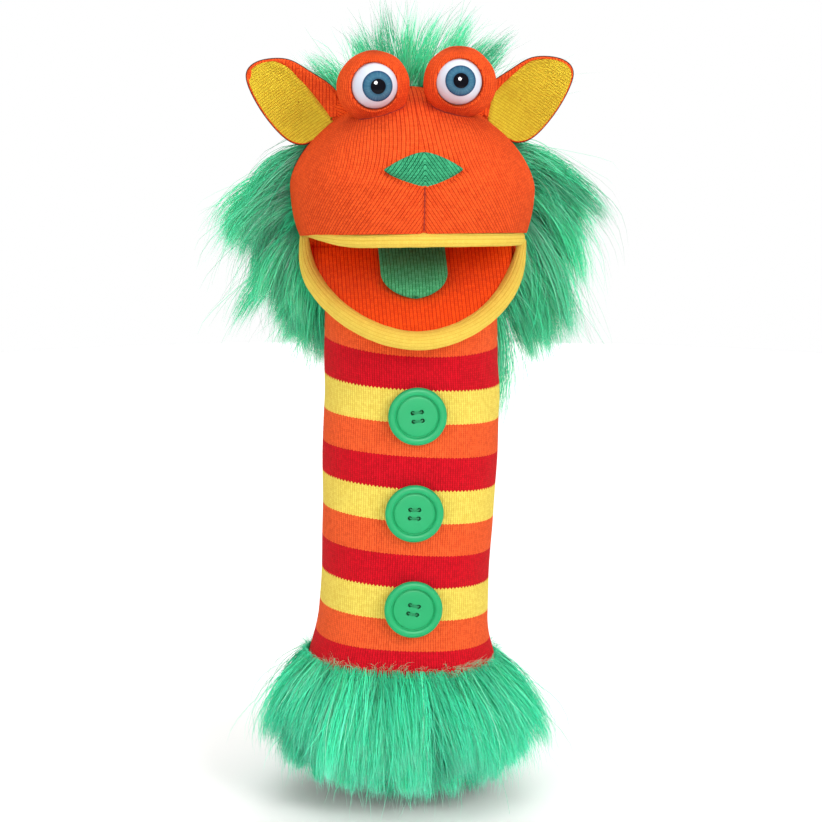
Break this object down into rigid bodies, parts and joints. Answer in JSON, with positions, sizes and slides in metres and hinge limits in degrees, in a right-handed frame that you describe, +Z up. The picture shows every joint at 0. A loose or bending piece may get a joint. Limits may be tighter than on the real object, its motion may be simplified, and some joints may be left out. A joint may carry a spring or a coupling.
{
  "type": "glove puppet",
  "caption": "Knitted glove puppet with a striped sleeve, a working mouth and tongue, plastic eyes, soft ears, sewn-on buttons and long green fur.",
  "frame": {"origin": "centre of the opening that the hand goes in at, in the plane of the cuff's rim", "axes": "+Z up along the arm towards the head, -Y the way the puppet faces, +X to the right as seen from the front"},
  "size_m": [0.1818, 0.1427, 0.378],
  "materials": {
    "red_knit": "knitted wool, red with stripes of yellow and orange",
    "orange_knit": "knitted wool",
    "yellow_knit": "rib-knitted wool",
    "green_knit": "knitted wool",
    "mane_fur": "long-pile artificial fur",
    "cuff_fur": "long-pile artificial fur",
    "fur_cloth": "woven backing of the pile",
    "lining": "plain cotton",
    "wadding": "polyester fibre",
    "board": "stiff felt-like sheet",
    "button": "polished",
    "thread": "sewing cotton",
    "eye_white": "polished",
    "iris": "polished",
    "pupil": "polished",
    "washer": "moulded"
  },
  "bodies": {
    "sleeve": {"sleeve_tube": "red_knit", "hem_facing": "red_knit", "cuff_backing": "fur_cloth", "cuff_fur": "cuff_fur", "button_bottom": "button", "button_thread_bottom": "thread", "button_middle": "button", "button_thread_middle": "thread", "button_top": "button", "button_thread_top": "thread"},
    "neck_base": {"neck_stripe": "red_knit"},
    "neck_mid": {"neck_lower": "orange_knit"},
    "head": {"neck_upper": "orange_knit", "head_cover": "orange_knit", "upper_palate": "orange_knit", "upper_mouth_board": "board", "finger_pocket": "lining", "head_stuffing": "wadding", "upper_lip": "yellow_knit", "nose": "green_knit", "eye_left": "eye_white", "iris_left": "iris", "pupil_left": "pupil", "eye_washer_left": "washer", "eye_socket_left": "orange_knit", "eye_right": "eye_white", "iris_right": "iris", "pupil_right": "pupil", "eye_washer_right": "washer", "eye_socket_right": "orange_knit", "mane_backing": "fur_cloth", "mane_left": "mane_fur", "mane_right": "mane_fur", "mane_back": "mane_fur", "crown_fur": "mane_fur"},
    "jaw": {"jaw_cover": "orange_knit", "lower_palate": "orange_knit", "lower_mouth_board": "board", "lower_lip": "yellow_knit"},
    "tongue": {"tongue": "green_knit"},
    "ear_left": {"ear_left": "orange_knit", "ear_lining_left": "yellow_knit"},
    "ear_right": {"ear_right": "orange_knit", "ear_lining_right": "yellow_knit"}
  },
  "joints": [
    {"name": "head_turn", "type": "hinge", "parent": "sleeve", "child": "neck_base", "pos_m": [0.0066, 0, 0.1862], "axis": [0, 0, 1], "range_deg": [-20, 20], "deforming": ["neck_stripe"]},
    {"name": "head_tilt", "type": "hinge", "parent": "neck_base", "child": "neck_mid", "pos_m": [0.0066, 0, 0.212], "axis": [0, 1, 0], "range_deg": [-12, 12], "deforming": ["neck_lower"]},
    {"name": "head_nod", "type": "hinge", "parent": "neck_mid", "child": "head", "pos_m": [0.0066, 0, 0.2287], "axis": [1, 0, 0], "range_deg": [-12, 15], "deforming": ["neck_upper"]},
    {"name": "jaw_open", "type": "hinge", "parent": "head", "child": "jaw", "pos_m": [0.0066, 0, 0.2535], "axis": [1, 0, 0], "range_deg": [-37, 6]},
    {"name": "tongue_lift", "type": "hinge", "parent": "jaw", "child": "tongue", "pos_m": [0.0066, 0.0003, 0.2504], "axis": [-1, 0, 0], "range_deg": [0, 25], "stiffness_Nm_per_rad": 0.01},
    {"name": "ear_left_flap", "type": "hinge", "parent": "head", "child": "ear_left", "pos_m": [-0.0264, 0.0055, 0.318], "axis": [0, 0, 1], "range_deg": [-15, 15], "stiffness_Nm_per_rad": 0.02},
    {"name": "ear_right_flap", "type": "hinge", "parent": "head", "child": "ear_right", "pos_m": [0.0396, 0.0055, 0.318], "axis": [0, 0, -1], "range_deg": [-15, 15], "stiffness_Nm_per_rad": 0.02}
  ]
}
